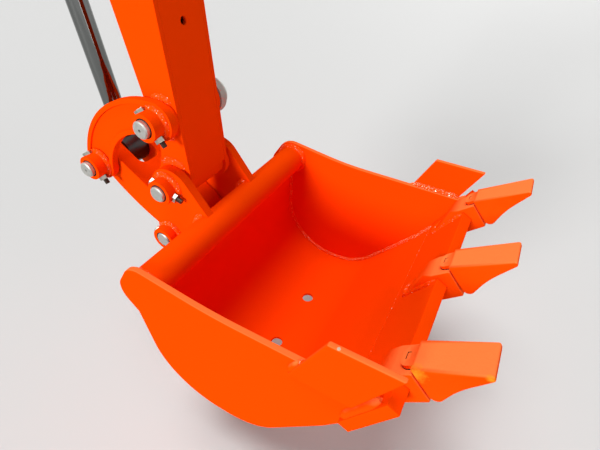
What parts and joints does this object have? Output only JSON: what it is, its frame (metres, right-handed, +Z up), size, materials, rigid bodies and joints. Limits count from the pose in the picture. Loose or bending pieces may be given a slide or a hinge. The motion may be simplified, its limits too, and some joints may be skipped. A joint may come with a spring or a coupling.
{
  "type": "excavator dipper arm with bucket and tipping linkage",
  "caption": "Dipper arm of a small excavator with a toothed digging bucket, rocker plates, forked connecting link and bucket cylinder; hangs from its boom pivot bore.",
  "frame": {"origin": "centre of the boom pivot bore, in the arm's middle plane", "axes": "+X along the pins to the right-hand side, +Y away from the machine (the teeth point to -Y), +Z up"},
  "size_m": [0.416, 0.7385, 1.32],
  "materials": {
    "orange_paint": "gloss",
    "pin_steel": "satin",
    "rod_chrome": "polished",
    "black_paint": "semi-gloss"
  },
  "bodies": {
    "arm": {"arm_side_left": "orange_paint", "arm_side_right": "orange_paint", "arm_front_plate": "orange_paint", "arm_rear_plate": "orange_paint", "bucket_pivot_tube": "orange_paint", "rocker_pivot_tube": "orange_paint", "boom_pivot_tube": "orange_paint", "tail_pin_tube": "orange_paint", "cylinder_lug_left": "orange_paint", "cylinder_lug_right": "orange_paint", "cylinder_pin": "pin_steel"},
    "bucket": {"torque_tube": "orange_paint", "bucket_wrapper": "orange_paint", "bucket_side_left": "orange_paint", "bucket_side_right": "orange_paint", "lip_plate": "orange_paint", "ear_left": "orange_paint", "ear_right": "orange_paint", "side_cutter_left": "orange_paint", "side_cutter_right": "orange_paint", "adapter_left": "orange_paint", "tooth_left": "orange_paint", "adapter_middle": "orange_paint", "tooth_middle": "orange_paint", "adapter_right": "orange_paint", "tooth_right": "orange_paint", "bucket_pin": "pin_steel", "link_pin": "pin_steel"},
    "rocker": {"rocker_left": "orange_paint", "rocker_right": "orange_paint", "rocker_pin": "pin_steel", "rod_pin": "pin_steel"},
    "link": {"connecting_link": "orange_paint"},
    "barrel": {"cylinder_barrel": "black_paint", "barrel_eye": "black_paint", "cylinder_gland": "black_paint"},
    "rod": {"cylinder_rod": "rod_chrome", "rod_eye": "black_paint"}
  },
  "joints": [
    {"name": "bucket_hinge", "type": "hinge", "parent": "arm", "child": "bucket", "pos_m": [0, -0.06, -0.8464], "axis": [-1, 0, 0], "range_deg": [-110, 45]},
    {"name": "rocker_hinge", "type": "hinge", "parent": "arm", "child": "rocker", "pos_m": [0, -0.0593, -0.7433], "axis": [-1, 0, 0], "range_deg": [-62.82, 25.7]},
    {"name": "link_hinge", "type": "hinge", "parent": "rocker", "child": "link", "pos_m": [0, 0.0875, -0.8518], "axis": [-1, 0, 0], "range_deg": [-10.04, 24.54]},
    {"name": "barrel_hinge", "type": "hinge", "parent": "arm", "child": "barrel", "pos_m": [0, 0.1765, -0.165], "axis": [-1, 0, 0], "range_deg": [-3.42, 1.41]},
    {"name": "rod_slide", "type": "slide", "parent": "barrel", "child": "rod", "axis": [0, -0.1285, -0.9917], "range_m": [-0.1807, 0.074]}
  ],
  "couplings": [
    {"joint": "rocker_hinge", "follows": "bucket_hinge", "ratio": 0.571},
    {"joint": "link_hinge", "follows": "bucket_hinge", "ratio": -0.223},
    {"joint": "barrel_hinge", "follows": "bucket_hinge", "ratio": 0.031},
    {"joint": "rod_slide", "follows": "bucket_hinge", "m_per_rad": 0.094}
  ]
}
